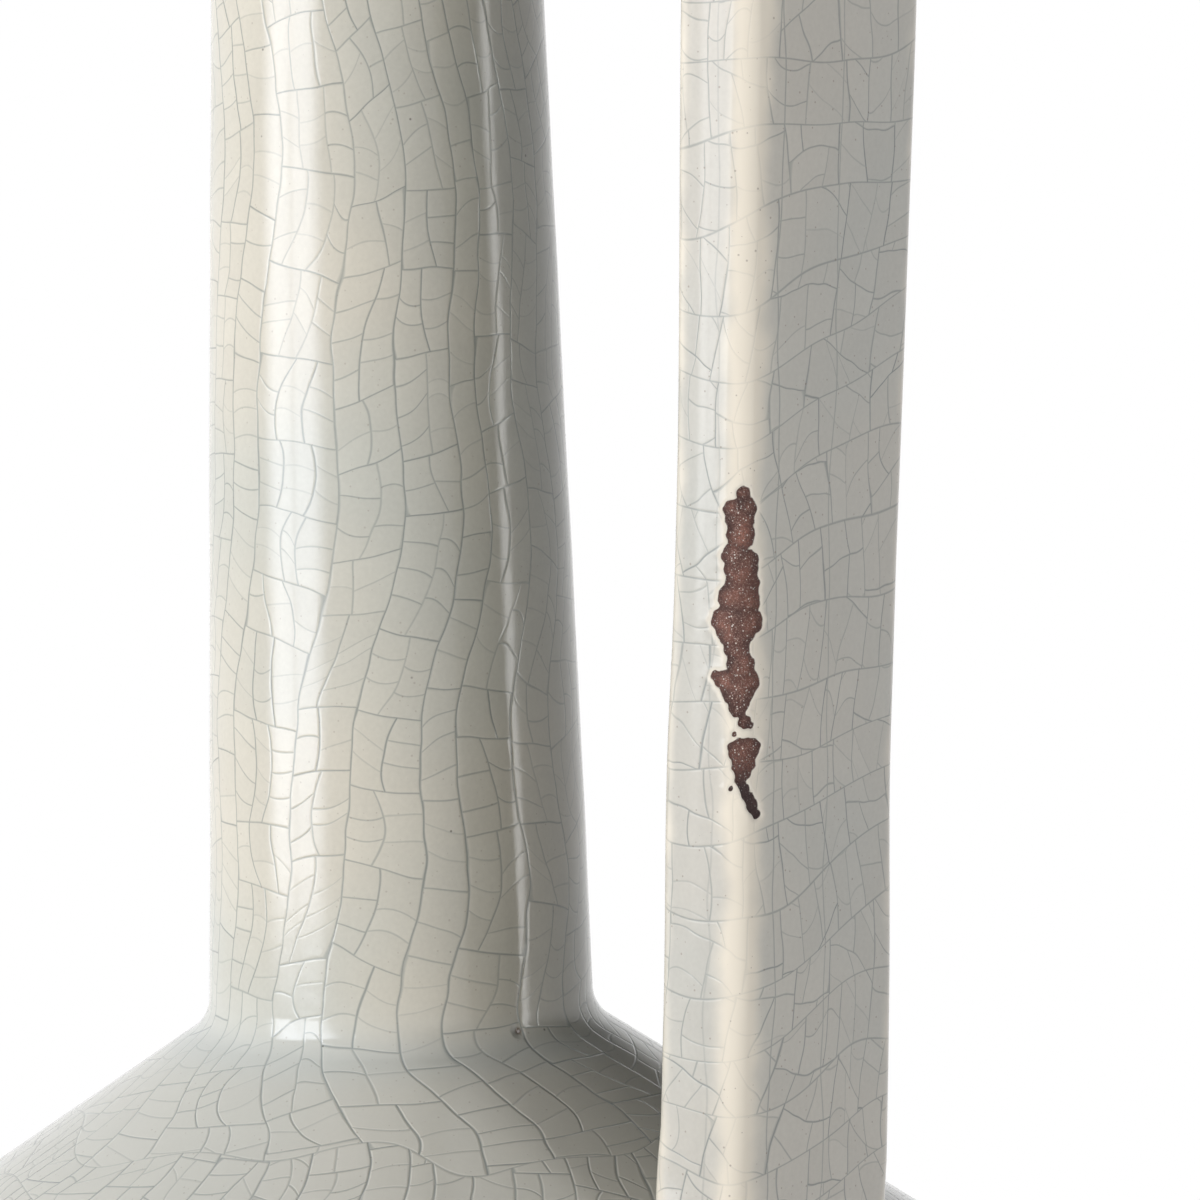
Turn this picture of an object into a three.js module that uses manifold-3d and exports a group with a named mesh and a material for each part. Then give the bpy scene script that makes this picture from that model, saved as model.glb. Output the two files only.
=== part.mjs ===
// Jug vase: stoneware sections joined with slip, a long strap handle, and a crackled celadon coat.
// Millimetres, +Z up. The origin is the middle of the foot on the table. The handle is on the +X side.

import * as THREE from 'three';
import { mergeVertices } from 'three/addons/utils/BufferGeometryUtils.js';
import Module from 'manifold-3d';

// Foot ring
const footRadius = 45;
const footWidth = 8;
const footHeight = 8;
const footBevel = 1.2;

// Body, measured on the outside of the clay
const bellyRadius = 76.8;
const bellyHeight = 80;
const bellyTurnRadius = 21;
const bellySweep = 36;
const footSweep = 22;
const footSweepAngle = 28;
const shoulderSlope = 33.6;

// Neck, measured on the outside of the clay. The taper is radius lost per millimetre of height.
const neckBaseRadius = 20.4;
const neckLength = 184;
const neckTaper = 0.0281;
const mouthRadius = 19.6;
const mouthFlareLength = 24;
const neckCoilRadius = 6.2;

// Walls, joints and coats
const floorThickness = 6;
const floorRadius = 38;
const bodyWall = 5;
const neckWall = 3.6;
const slipThickness = 0.8;
const glazeThickness = 0.9;
const glazeLine = 3;
const fitGap = 0.3;

// Handle. The reach is from the vase's axis to the middle of the strap, level with the neck seam.
const handleReach = 54.4;
const handleLean = 0.05;
const handleDrop = 35;
const elbowSize = 17;
const strapRootWidth = 25.4;
const strapWaistWidth = 24.4;
const strapTopWidth = 26.6;
const armRootWidth = 19;
const strapWaistRise = 26;
const strapRootThickness = 8.8;
const strapTopThickness = 7.8;
const strapCorner = 1.6;
const rootFlare = 2.2;
const rootFlareLength = 9;
const rootClearance = 1;

// Bare patches in the handle's glaze, outlined as across the corner and up from the patch's own middle
const barePatchRise = 50.2;
const barePatchOutline = [
  [0.4, 11.5], [2, 9], [1.8, 5], [2.4, 0], [2.6, -3], [1.1, -5.5], [2.3, -9], [-0.2, -11.5],
  [-2.5, -9], [-1.4, -5.5], [-2.8, -3], [-1.9, 2], [-1.5, 6], [-1.7, 9],
];
const lowerPatchRise = 31.5;
const lowerPatchOutline = [[-0.8, 3], [2.8, 3.6], [2.4, 0], [2.4, -4.4], [1, -1.6], [-0.4, 0.4]];
const patchDepth = 5;

// Facets
const aroundSteps = 32;
const curveSteps = 6;
const arcSteps = 4;
const strapCornerSteps = 2;
const strapSteps = 6;
const weldDistance = 1e-4;

// Heights that follow from the sizes above
const slope = THREE.MathUtils.degToRad(shoulderSlope);
const bodyBase = footHeight + slipThickness;
const floorTop = bodyBase + floorThickness;
const shoulderBase = bellyHeight + slipThickness;
const shoulderTurn = Math.PI / 2 - slope;
const coneRadius = bellyRadius - bellyTurnRadius + bellyTurnRadius * Math.cos(shoulderTurn);
const coneBase = shoulderBase + bellyTurnRadius * Math.sin(shoulderTurn);
const neckSeam = coneBase + (coneRadius - neckBaseRadius) * Math.tan(slope);
const neckFoot = neckSeam + slipThickness;
const neckBore = neckBaseRadius - neckWall;
const lipHeight = neckFoot + neckLength;
const flareBase = lipHeight - mouthFlareLength;
const coilReach = neckCoilRadius / Math.tan((Math.PI / 2 + slope) / 2);
const coilTop = neckSeam + coilReach;
const armHeight = lipHeight - handleDrop;

const wasm = await Module();
wasm.setup();

const clay = new THREE.MeshStandardMaterial({ color: 0x5a4340, roughness: 0.9, metalness: 0 });
const slip = new THREE.MeshStandardMaterial({ color: 0x74594f, roughness: 0.95, metalness: 0 });
const celadon = new THREE.MeshStandardMaterial({ color: 0xc6c9c0, roughness: 0.1, metalness: 0 });
const liner = new THREE.MeshStandardMaterial({ color: 0xd2d0c2, roughness: 0.14, metalness: 0 });

function at(radius, height) {
  return new THREE.Vector2(radius, height);
}

// A profile moved sideways. Away from the axis is positive on a profile that runs upwards.
function offset(profile, distance) {
  const sides = profile.slice(1).map((point, i) => {
    const along = point.clone().sub(profile[i]).normalize();
    return at(along.y, -along.x);
  });
  return profile.map((point, i) => {
    const before = sides[Math.max(i - 1, 0)];
    const after = sides[Math.min(i, sides.length - 1)];
    const mitre = before.clone().add(after).multiplyScalar(distance / (1 + before.dot(after)));
    return mitre.add(point);
  });
}

// The bowl's side, from its lowest radius up to the belly.
function bowlSide(lowRadius, lowHeight, highRadius) {
  const lean = THREE.MathUtils.degToRad(footSweepAngle);
  const curve = new THREE.CubicBezierCurve(
    at(lowRadius, lowHeight),
    at(lowRadius + footSweep * Math.cos(lean), lowHeight + footSweep * Math.sin(lean)),
    at(highRadius, bellyHeight - bellySweep),
    at(highRadius, bellyHeight),
  );
  return curve.getPoints(curveSteps);
}

// The rounded turn above the belly, up to where the straight cone starts.
function bellyTurn() {
  const centre = bellyRadius - bellyTurnRadius;
  const arc = new THREE.EllipseCurve(
    centre, shoulderBase, bellyTurnRadius, bellyTurnRadius, 0, shoulderTurn,
  );
  return arc.getPoints(arcSteps);
}

// The hollow corner between shoulder and neck, from the cone's side up to the neck's.
function coilArc() {
  const arc = new THREE.EllipseCurve(
    neckBaseRadius + neckCoilRadius, coilTop, neckCoilRadius, neckCoilRadius,
    1.5 * Math.PI - slope, Math.PI, true,
  );
  return arc.getPoints(arcSteps);
}

function neckRadiusAt(height) {
  return neckBaseRadius - neckTaper * Math.max(height - coilTop, 0);
}

// The tapering neck from the coil's top to the edge of the mouth.
function neckSide() {
  const flareRadius = neckRadiusAt(flareBase);
  const flareBend = at(neckRadiusAt(flareBase + mouthFlareLength / 2), flareBase + mouthFlareLength / 2);
  const flare = new THREE.QuadraticBezierCurve(
    at(flareRadius, flareBase), flareBend, at(mouthRadius, lipHeight),
  );
  return [at(neckBaseRadius, coilTop), ...flare.getPoints(arcSteps)];
}

// The half-round lip, over the top of the wall and down to its inside.
function lipArc() {
  const half = neckWall / 2;
  const arc = new THREE.EllipseCurve(mouthRadius - half, lipHeight, half, half, 0, Math.PI);
  return arc.getPoints(arcSteps).slice(1);
}

function neckInside() {
  const side = offset([at(neckBaseRadius, neckFoot), ...neckSide()], -neckWall);
  return [...side.slice(0, -1), at(mouthRadius - neckWall, lipHeight)];
}

// The shoulder's inside, up to the bottom of the bore that is trimmed level with the neck's.
function shoulderInside() {
  const turn = offset([...bellyTurn(), at(neckBaseRadius, neckSeam)], -bodyWall).slice(1, -1);
  const wallRise = bodyWall / Math.cos(slope);
  const boreFoot = neckSeam - wallRise + (neckBaseRadius - neckBore) * Math.tan(slope);
  return [at(bellyRadius - bodyWall, shoulderBase), ...turn, at(neckBore, boreFoot)];
}

function lathe(profile) {
  return new THREE.LatheGeometry(profile, aroundSteps).rotateX(Math.PI / 2);
}

function closedLathe(profile) {
  return lathe([...profile, profile[0].clone()]);
}

function ring(innerRadius, outerRadius, low, high) {
  return closedLathe([
    at(innerRadius, low), at(outerRadius, low), at(outerRadius, high), at(innerRadius, high),
  ]);
}

// A coat of glaze over a profile, on its outer side.
function coat(profile) {
  const skin = offset(profile, fitGap + glazeThickness);
  const back = offset(profile, fitGap);
  return closedLathe([...skin, ...back.reverse()]);
}

// A closed geometry as a solid that can be joined and cut.
function solid(geometry) {
  const bare = geometry.clone();
  bare.deleteAttribute('normal');
  bare.deleteAttribute('uv');
  const merged = mergeVertices(bare, weldDistance);
  const corners = Array.from(merged.index.array);
  const triVerts = [];
  for (let i = 0; i < corners.length; i += 3) {
    const [a, b, c] = corners.slice(i, i + 3);
    if (a !== b && b !== c && c !== a) {
      triVerts.push(a, b, c);
    }
  }
  return new wasm.Manifold(new wasm.Mesh({
    numProp: 3,
    vertProperties: Float32Array.from(merged.attributes.position.array),
    triVerts: Uint32Array.from(triVerts),
  }));
}

function geometryOf(body) {
  const mesh = body.getMesh();
  const geometry = new THREE.BufferGeometry();
  geometry.setAttribute('position', new THREE.BufferAttribute(mesh.vertProperties, 3));
  geometry.setIndex(new THREE.BufferAttribute(mesh.triVerts, 1));
  geometry.computeVertexNormals();
  return geometry;
}

// The vessel filled solid and grown all round, for trimming what meets its outside.
function filledShoulder(growth) {
  const side = offset([...bellyTurn(), at(neckBaseRadius, neckSeam)], growth);
  return solid(lathe([at(0, side[0].y), ...side, at(0, side.at(-1).y)]));
}

function filledNeck(growth) {
  const side = offset([at(neckBaseRadius, neckSeam), ...neckSide()], growth);
  return solid(lathe([at(0, side[0].y), ...side, at(0, side.at(-1).y)]));
}

// The strap's middle line: up from inside the shoulder, round the elbow and along the arm.
function strapXAt(height) {
  return handleReach + handleLean * (height - neckSeam);
}

const coneFall = Math.tan(slope);
const rootHeight = neckSeam - (handleReach - neckBaseRadius) * coneFall / (1 + handleLean * coneFall);
const armCorner = at(strapXAt(armHeight), armHeight);
const strapStart = at(strapXAt(shoulderBase + rootClearance), shoulderBase + rootClearance);
const lowerRun = strapStart.distanceTo(at(strapXAt(rootHeight), rootHeight));
const upperRun = neckRadiusAt(armHeight) / 2;
const elbowStart = at(strapXAt(armHeight - elbowSize), armHeight - elbowSize);
const elbowEnd = at(armCorner.x - elbowSize, armHeight);
const armEnd = at(neckRadiusAt(armHeight) - upperRun, armHeight);

function strapLine() {
  const line = new THREE.CurvePath();
  line.add(new THREE.LineCurve(strapStart, elbowStart));
  line.add(new THREE.QuadraticBezierCurve(elbowStart, armCorner, elbowEnd));
  line.add(new THREE.LineCurve(elbowEnd, armEnd));
  return line;
}

// Distances along the middle line at which the strap's section is set, closer at roots and elbow.
function strapStations(line) {
  const [straight, withElbow, whole] = line.getCurveLengths();
  const near = [0, 0.25, 0.5, 1].map((share) => share * rootFlareLength);
  const lowerRoot = near.map((distance) => lowerRun + distance);
  const upperRoot = near.toReversed().map((distance) => whole - upperRun - distance);
  const shares = Array.from({ length: strapSteps }, (_, i) => (i + 1) / strapSteps);
  const rising = shares.map((share) => THREE.MathUtils.lerp(lowerRoot.at(-1), straight, share));
  const turning = shares.map((share) => THREE.MathUtils.lerp(straight, withElbow, share));
  return [0, ...lowerRoot, ...rising, ...turning, ...upperRoot, whole];
}

function flareAt(distance) {
  const share = THREE.MathUtils.clamp(1 - distance / rootFlareLength, 0, 1);
  return rootFlare * share * share;
}

// A rounded rectangle in strap width and thickness.
function strapSection(width, thickness, corner) {
  const points = [];
  const quarters = [[1, 1], [-1, 1], [-1, -1], [1, -1]];
  quarters.forEach(([across, out], quarter) => {
    for (let i = 0; i <= strapCornerSteps; i += 1) {
      const angle = (quarter + i / strapCornerSteps) * Math.PI / 2;
      const middleAcross = across * (width / 2 - corner);
      const middleOut = out * (thickness / 2 - corner);
      points.push([middleAcross + corner * Math.cos(angle), middleOut + corner * Math.sin(angle)]);
    }
  });
  return points;
}

// Width and thickness of the strap: a waist above the lower root, widest at the elbow, narrow at the neck.
function strapSize(middle) {
  const waist = neckSeam + strapWaistRise;
  const armLength = armCorner.x - neckRadiusAt(armHeight);
  const towardsTop = THREE.MathUtils.smoothstep(middle.y, waist, armHeight);
  const towardsRoot = 1 - THREE.MathUtils.smoothstep(middle.y, rootHeight, waist);
  const towardsNeck = towardsTop * THREE.MathUtils.smoothstep(armCorner.x - middle.x, 0, armLength);
  const topWider = (strapTopWidth - strapWaistWidth) * towardsTop;
  const rootWider = (strapRootWidth - strapWaistWidth) * towardsRoot;
  const neckNarrower = (strapTopWidth - armRootWidth) * towardsNeck;
  const thinner = (strapRootThickness - strapTopThickness) * towardsTop;
  return [strapWaistWidth + topWider + rootWider - neckNarrower, strapRootThickness - thinner];
}

// Joins rings of equal counts into one closed skin, with a flat cap on each end.
function loft(rings) {
  const count = rings[0].length;
  const index = [];
  for (let i = 0; i + 1 < rings.length; i += 1) {
    for (let j = 0; j < count; j += 1) {
      const a = i * count + j;
      const b = i * count + (j + 1) % count;
      index.push(a, b + count, b, a, a + count, b + count);
    }
  }
  const last = (rings.length - 1) * count;
  for (let j = 1; j + 1 < count; j += 1) {
    index.push(0, j, j + 1);
    index.push(last, last + j + 1, last + j);
  }
  const geometry = new THREE.BufferGeometry().setFromPoints(rings.flat());
  return geometry.setIndex(index);
}

// The strap, or the same shape grown by a skin's thickness, with both ends run on into the vessel.
function strap(growth) {
  const line = strapLine();
  const whole = line.getLength();
  const rings = strapStations(line).map((distance) => {
    const share = Math.min(distance / whole, 1);
    const middle = line.getPointAt(share);
    const along = line.getTangentAt(share);
    const [width, thickness] = strapSize(middle);
    const flare = Math.max(flareAt(distance - lowerRun), flareAt(whole - upperRun - distance));
    const more = 2 * (growth + flare);
    return strapSection(width + more, thickness + more, strapCorner + growth + flare).map(
      ([across, out]) => new THREE.Vector3(middle.x + out * along.y, across, middle.y - out * along.x),
    );
  });
  return solid(loft(rings));
}

// A patch's outline pushed through the glaze of the strap's outer corner on the -Y side.
function patchCutter(outline, rise) {
  const shape = new THREE.Shape();
  shape.setFromPoints(new THREE.SplineCurve(
    [...outline, outline[0]].map(([across, up]) => at(across, up)),
  ).getPoints(outline.length * 2).slice(0, -1));
  const height = neckSeam + rise;
  const [width, thickness] = strapSize(at(strapXAt(height), height));
  const up = new THREE.Vector3(handleLean, 0, 1).normalize();
  const out = new THREE.Vector3(1, -1, 0).projectOnPlane(up).normalize();
  const across = new THREE.Vector3().crossVectors(up, out);
  const corner = new THREE.Vector3(strapXAt(height) + thickness / 2, -width / 2, height);
  const place = new THREE.Matrix4().makeBasis(across, up, out);
  place.setPosition(corner.addScaledVector(out, -patchDepth));
  const cutter = new THREE.ExtrudeGeometry(shape, { depth: 2 * patchDepth, bevelEnabled: false });
  return solid(cutter.applyMatrix4(place));
}

const vase = new THREE.Group();

function piece(name, geometry, material) {
  const mesh = new THREE.Mesh(geometry, material);
  mesh.name = name;
  vase.add(mesh);
}

// Clay members and the slip between them, from the table up
const footInner = footRadius - footWidth;
piece('foot_ring', closedLathe([
  at(footInner + footBevel, 0),
  at(footRadius - footBevel, 0),
  at(footRadius, footBevel),
  at(footRadius, footHeight),
  at(footInner, footHeight),
  at(footInner, footBevel),
]), clay);
piece('foot_slip_seam', ring(footInner, footRadius, footHeight, bodyBase), slip);

const bowlInside = bowlSide(floorRadius, floorTop, bellyRadius - bodyWall);
piece('lower_body', lathe([
  at(0, bodyBase),
  ...bowlSide(footRadius, bodyBase, bellyRadius),
  ...bowlInside.toReversed(),
  at(0, floorTop),
]), clay);
piece('belly_slip_seam', ring(bellyRadius - bodyWall, bellyRadius, bellyHeight, shoulderBase), slip);
piece('shoulder', closedLathe([
  ...bellyTurn(),
  at(neckBaseRadius, neckSeam),
  at(neckBore, neckSeam),
  ...shoulderInside().toReversed(),
]), clay);
piece('neck_slip_seam', ring(neckBore, neckBaseRadius, neckSeam, neckFoot), slip);
piece('neck', closedLathe([
  at(neckBaseRadius, neckFoot),
  ...neckSide(),
  ...lipArc(),
  ...neckInside().slice(0, -1).toReversed(),
]), clay);

const cornerFill = solid(closedLathe([at(neckBaseRadius, neckSeam), ...coilArc()]));
const shoulderClear = filledShoulder(fitGap);
const neckClear = filledNeck(fitGap);
piece('neck_base_coil', geometryOf(cornerFill.subtract(shoulderClear).subtract(neckClear)), clay);

// Handle: the strap, a bed of slip under each root, and its coat with the two bare patches
const bed = fitGap + slipThickness;
const strapClay = strap(0);
const strapTrimmed = strapClay.subtract(filledShoulder(bed + fitGap)).subtract(filledNeck(bed + fitGap));
piece('handle_strap', geometryOf(strapTrimmed), clay);
const lowerBed = strapClay.intersect(filledShoulder(bed)).subtract(shoulderClear);
piece('lower_handle_slip_seam', geometryOf(lowerBed), slip);
const upperBed = strapClay.intersect(filledNeck(bed)).subtract(neckClear);
piece('upper_handle_slip_seam', geometryOf(upperBed), slip);

const rootWindow = strap(fitGap);
const coatRise = fitGap + glazeThickness + fitGap;
const handleCoat = strap(fitGap + glazeThickness)
  .subtract(rootWindow)
  .subtract(filledShoulder(coatRise))
  .subtract(filledNeck(coatRise))
  .subtract(patchCutter(barePatchOutline, barePatchRise))
  .subtract(patchCutter(lowerPatchOutline, lowerPatchRise));
piece('handle_glaze', geometryOf(handleCoat), celadon);

// Glaze on the vessel, with a window for each handle root
const bowlCoat = bowlSide(footRadius, bodyBase, bellyRadius).slice(1);
bowlCoat.unshift(at(footRadius + glazeLine, bodyBase + glazeLine * Math.tan(
  THREE.MathUtils.degToRad(footSweepAngle),
)));
piece('lower_body_glaze', coat(bowlCoat), celadon);
const shoulderCoat = solid(coat([at(bellyRadius, bellyHeight + fitGap), ...bellyTurn(), ...coilArc()]));
piece('shoulder_glaze', geometryOf(shoulderCoat.subtract(rootWindow)), celadon);
const neckCoatFoot = at(neckRadiusAt(coilTop + fitGap), coilTop + fitGap);
const neckCoat = solid(coat([neckCoatFoot, ...neckSide().slice(1), ...lipArc()]));
piece('neck_glaze', geometryOf(neckCoat.subtract(rootWindow)), celadon);

const insideLine = [
  at(0, floorTop),
  ...bowlInside,
  ...shoulderInside(),
  ...neckInside().slice(0, -1),
  at(mouthRadius - neckWall, lipHeight - fitGap),
];
const linerSkin = offset(insideLine, -fitGap - glazeThickness);
const linerBack = offset(insideLine, -fitGap);
piece('liner_glaze', lathe([...linerBack, ...linerSkin.reverse()]), liner);

export default vase;
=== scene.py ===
# %% [markdown]
# # A jug vase in crackled celadon
#
# The vase is stoneware: a bowl, a cone-shaped shoulder and a long neck, thrown one by one, joined
# with slip and coated with a pale grey-green glaze that has cracked into small cells. A long strap
# handle rises from the shoulder and turns in to the neck. The glaze has pulled away from one corner
# of the handle, and the dark clay shows there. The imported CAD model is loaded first. It fixes every
# size, and what is made below stays inside it.

# %% Load the frame
import math

import bpy
import numpy as np
from mathutils import Matrix, Vector


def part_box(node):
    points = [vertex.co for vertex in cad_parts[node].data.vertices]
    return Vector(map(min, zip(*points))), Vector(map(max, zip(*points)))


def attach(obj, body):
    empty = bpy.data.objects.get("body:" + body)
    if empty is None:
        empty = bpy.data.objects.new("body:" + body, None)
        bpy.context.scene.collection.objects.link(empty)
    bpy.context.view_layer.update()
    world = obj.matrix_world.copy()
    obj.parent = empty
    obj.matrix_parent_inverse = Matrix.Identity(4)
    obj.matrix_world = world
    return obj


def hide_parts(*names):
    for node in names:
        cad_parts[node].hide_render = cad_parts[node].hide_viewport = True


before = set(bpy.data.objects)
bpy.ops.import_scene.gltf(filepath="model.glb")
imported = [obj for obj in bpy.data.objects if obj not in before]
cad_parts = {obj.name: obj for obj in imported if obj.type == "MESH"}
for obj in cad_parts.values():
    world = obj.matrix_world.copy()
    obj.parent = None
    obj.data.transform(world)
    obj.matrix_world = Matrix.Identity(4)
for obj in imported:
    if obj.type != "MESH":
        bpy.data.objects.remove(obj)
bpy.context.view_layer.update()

MM = 0.001
BODY = "root"
print("nodes:", sorted(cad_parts))

# %% [markdown]
# ## The camera
#
# A close view from a little above, with a long lens, shows the neck, the top of the shoulder and most
# of the handle. The camera stands half a metre away, 44 degrees round from the front towards the
# handle. It aims to the right of the axis, looks down a few degrees and is rolled by about one.
# Its axes are worked out as three vectors, because that leaves no doubt about the order of turns.

# %% Camera
camera_azimuth = math.radians(44)
camera_distance = 0.504
camera_height = 0.2138
camera_yaw = math.radians(-2.652)
camera_pitch = math.radians(4.26)
camera_roll = math.radians(-1.22)

towards_camera = Vector((math.sin(camera_azimuth), -math.cos(camera_azimuth), 0))
aim = camera_azimuth + camera_yaw
forward = Vector((
    -math.sin(aim) * math.cos(camera_pitch),
    math.cos(aim) * math.cos(camera_pitch),
    -math.sin(camera_pitch),
))
level_right = forward.cross(Vector((0, 0, 1))).normalized()
level_up = level_right.cross(forward)
right = level_right * math.cos(camera_roll) + level_up * math.sin(camera_roll)
up = level_up * math.cos(camera_roll) - level_right * math.sin(camera_roll)


def placed(name, data):
    """A new object in the scene for a camera, a lamp or a mesh."""
    made = bpy.data.objects.new(name, data)
    bpy.context.collection.objects.link(made)
    return made


lens = bpy.data.cameras.new("camera")
lens.lens = 135
lens.sensor_width = 36
lens.clip_start = 0.01
lens.clip_end = 50
camera = placed("camera", lens)
turned = Matrix((right, up, -forward)).transposed().to_4x4()
eye = towards_camera * camera_distance + Vector((0, 0, camera_height))
camera.matrix_world = Matrix.Translation(eye) @ turned
bpy.context.scene.camera = camera
bpy.context.scene.view_settings.view_transform = "Standard"
print("camera at", [round(c, 4) for c in eye])

# %% [markdown]
# ## Short calls for node trees
#
# Every finish below is a tree of nodes. Two small classes keep those trees readable. A recipe adds a
# node, fills its inputs with numbers or with other outputs, and hands back an output as a value. Values
# are reckoned with like numbers: each sign, as in a + b, adds one Math node.

# %% Node helpers


def adds(operation):
    """A method that adds a Math node for one sign or call."""
    return lambda value, *others: value.recipe.math(operation, value, *others)


class Value:
    """An output of a node. A sign between two of them, or one and a number, adds a Math node."""

    def __init__(self, recipe, socket):
        self.recipe = recipe
        self.socket = socket

    __add__ = adds("ADD")
    __sub__ = adds("SUBTRACT")
    __mul__ = adds("MULTIPLY")
    __truediv__ = adds("DIVIDE")
    __lt__ = adds("LESS_THAN")
    __gt__ = adds("GREATER_THAN")
    __abs__ = adds("ABSOLUTE")
    times_plus = adds("MULTIPLY_ADD")
    least = adds("MINIMUM")
    most = adds("MAXIMUM")
    floor = adds("FLOOR")
    round = adds("ROUND")
    wrapped = adds("FLOORED_MODULO")
    fraction = adds("FRACT")
    sine = adds("SINE")
    cosine = adds("COSINE")

    def __rsub__(self, number):
        return self.recipe.math("SUBTRACT", number, self)

    def ease(self, low, high, start=0.0, end=1.0):
        """A smooth step: start below low, end above high."""
        inputs = {0: self, 1: low, 2: high, 3: start, 4: end}
        return self.recipe.value("MapRange", inputs, interpolation_type="SMOOTHSTEP")

    def vector(self, operation, *others, key="Vector"):
        values = enumerate((self, *others))
        return self.recipe.value("VectorMath", values, key, operation=operation)

    def scaled(self, factor):
        inputs = {0: self, "Scale": factor}
        return self.recipe.value("VectorMath", inputs, "Vector", operation="SCALE")

    def split(self):
        return self.recipe.values("SeparateXYZ", range(3), {0: self})

    def noise(self, scale, detail=2.0, key="Fac"):
        """Smooth noise at this place."""
        inputs = {"Vector": self, "Scale": scale, "Detail": detail}
        return self.recipe.value("TexNoise", inputs, key)


class Recipe:
    """The node tree of a material, a world, a lamp or a group, and short calls that add to it."""

    def __init__(self, tree):
        self.tree = tree

    def node(self, kind, inputs=(), **settings):
        """Adds a node. Its kind is Blender's name for it without ShaderNode in front."""
        made = self.tree.nodes.new(kind if kind.startswith("NodeGroup") else "ShaderNode" + kind)
        for name, setting in settings.items():
            setattr(made, name, setting)
        for key, given in dict(inputs).items():
            if isinstance(given, Value):
                self.tree.links.new(given.socket, made.inputs[key])
            else:
                made.inputs[key].default_value = given
        return made

    def values(self, kind, keys, inputs=(), **settings):
        """Adds a node and gives the outputs with these names or numbers."""
        made = self.node(kind, inputs, **settings)
        return [Value(self, made.outputs[key]) for key in keys]

    def value(self, kind, inputs=(), key=0, **settings):
        return self.values(kind, [key], inputs, **settings)[0]

    def math(self, operation, *values):
        return self.value("Math", enumerate(values), operation=operation)

    def mix(self, factor, first, second, blend="MIX"):
        """Colours mixed: first at factor 0, second at 1."""
        inputs = {0: factor, 6: first, 7: second}
        return self.value("Mix", inputs, 2, data_type="RGBA", blend_type=blend)

    def choose(self, factor, first, second):
        """The first number where factor is 0, the second where it is 1."""
        return self.value("Mix", {0: factor, 2: first, 3: second})

    def field(self, name, key="Fac"):
        """What a piece's mesh keeps under this name."""
        return self.value("Attribute", (), key, attribute_name=name)

    def place(self):
        """Where a point of the piece lies, in mm."""
        return self.value("TexCoord", (), "Object").scaled(1 / MM)


def recipe_for(owner):
    """An empty recipe for a material, a world or a lamp."""
    owner.use_nodes = True
    owner.node_tree.nodes.clear()
    return Recipe(owner.node_tree)


# %% [markdown]
# ## Floor, background and light
#
# The vase stands on a pale table in front of white. Near the vase the table is plain matt paint, so it
# takes the shadow. Farther out it turns into a white that only the camera and reflections see, as the
# world does. For reflections alone the world is dark high up on the right, so the shoulder falls off
# into shade there. A tall softbox on the left is the main light: it draws the long highlight down the
# neck. Panels on the left, high behind and low behind fill the rest, and a narrow one on the right lights
# the handle's outer face and lets the handle shade the neck. Three helpers reach some pieces only: a glare
# just behind the softbox strengthens its mirror image on the vessel, a second right panel lights the
# handle, and a strip on the far right is no more than a thin streak on the vessel. No two lamps share one
# plane, because Cycles would count only one of them there.

# %% Floor
white = (1, 1, 1, 1)
floor_half = 6.0
floor_height = -0.0001
corners = [(-1, -1), (1, -1), (1, 1), (-1, 1)]
floor_points = [(floor_half * x, floor_half * y, floor_height) for x, y in corners]
floor_mesh = bpy.data.meshes.new("floor")
floor_mesh.from_pydata(floor_points, [], [(0, 1, 2, 3)])
floor = placed("floor", floor_mesh)


def seen_directly(recipe):
    """1 for rays from the camera, from a mirror or through glass, else 0."""
    kinds = ("Is Camera Ray", "Is Glossy Ray", "Is Transmission Ray")
    by_camera, by_mirror, by_glass = recipe.values("LightPath", kinds)
    return by_camera.most(by_mirror).most(by_glass)


floor_paint = bpy.data.materials.new("floor_paint")
recipe = recipe_for(floor_paint)
place = recipe.value("TexCoord", (), "Object")
from_vase = place.vector("LENGTH", key="Value")
paint = recipe.mix(place.noise(900.0, 3.0), (0.80, 0.80, 0.79, 1), (0.83, 0.83, 0.82, 1))
matt = recipe.value("BsdfPrincipled", {"Base Color": paint, "Roughness": 0.9})
glow = recipe.value("Emission", {"Color": white, "Strength": 1.0})
far = from_vase.ease(0.12, 0.44, 0.35, 1.0) * seen_directly(recipe)
blend = recipe.value("MixShader", {0: far, 1: matt, 2: glow})
recipe.node("OutputMaterial", {"Surface": blend})
floor_mesh.materials.append(floor_paint)
print("floor", 2 * floor_half, "m wide")

# %% World
ambient_light = 0.012
world = bpy.data.worlds.new("studio")
bpy.context.scene.world = world
recipe = recipe_for(world)
side = Vector((level_right.x, level_right.y, 0)).normalized()
direction = recipe.value("TexCoord", (), "Generated")
to_right = direction.vector("DOT_PRODUCT", side, key="Value")
upward = direction.split()[2]
dark = upward.ease(0.12, 0.45, 0.0, 0.85) * to_right.ease(-0.1, 0.35)
dark = dark * recipe.value("LightPath", (), "Is Glossy Ray")
level = recipe.value("MapRange", {0: seen_directly(recipe), 3: ambient_light, 4: 1.0 - dark})
sky = recipe.value("Background", {"Color": white, "Strength": level})
recipe.node("OutputWorld", {"Surface": sky})
print("world nodes:", len(recipe.tree.nodes))

# %% Lamps
aim_height = 0.17
bar_half = 0.06


def soft_sides(place, soft):
    """1 over most of a lamp's face, falling smoothly to 0 at two opposite sides."""
    return place.least(1.0 - place).ease(0.0, soft)


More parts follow.
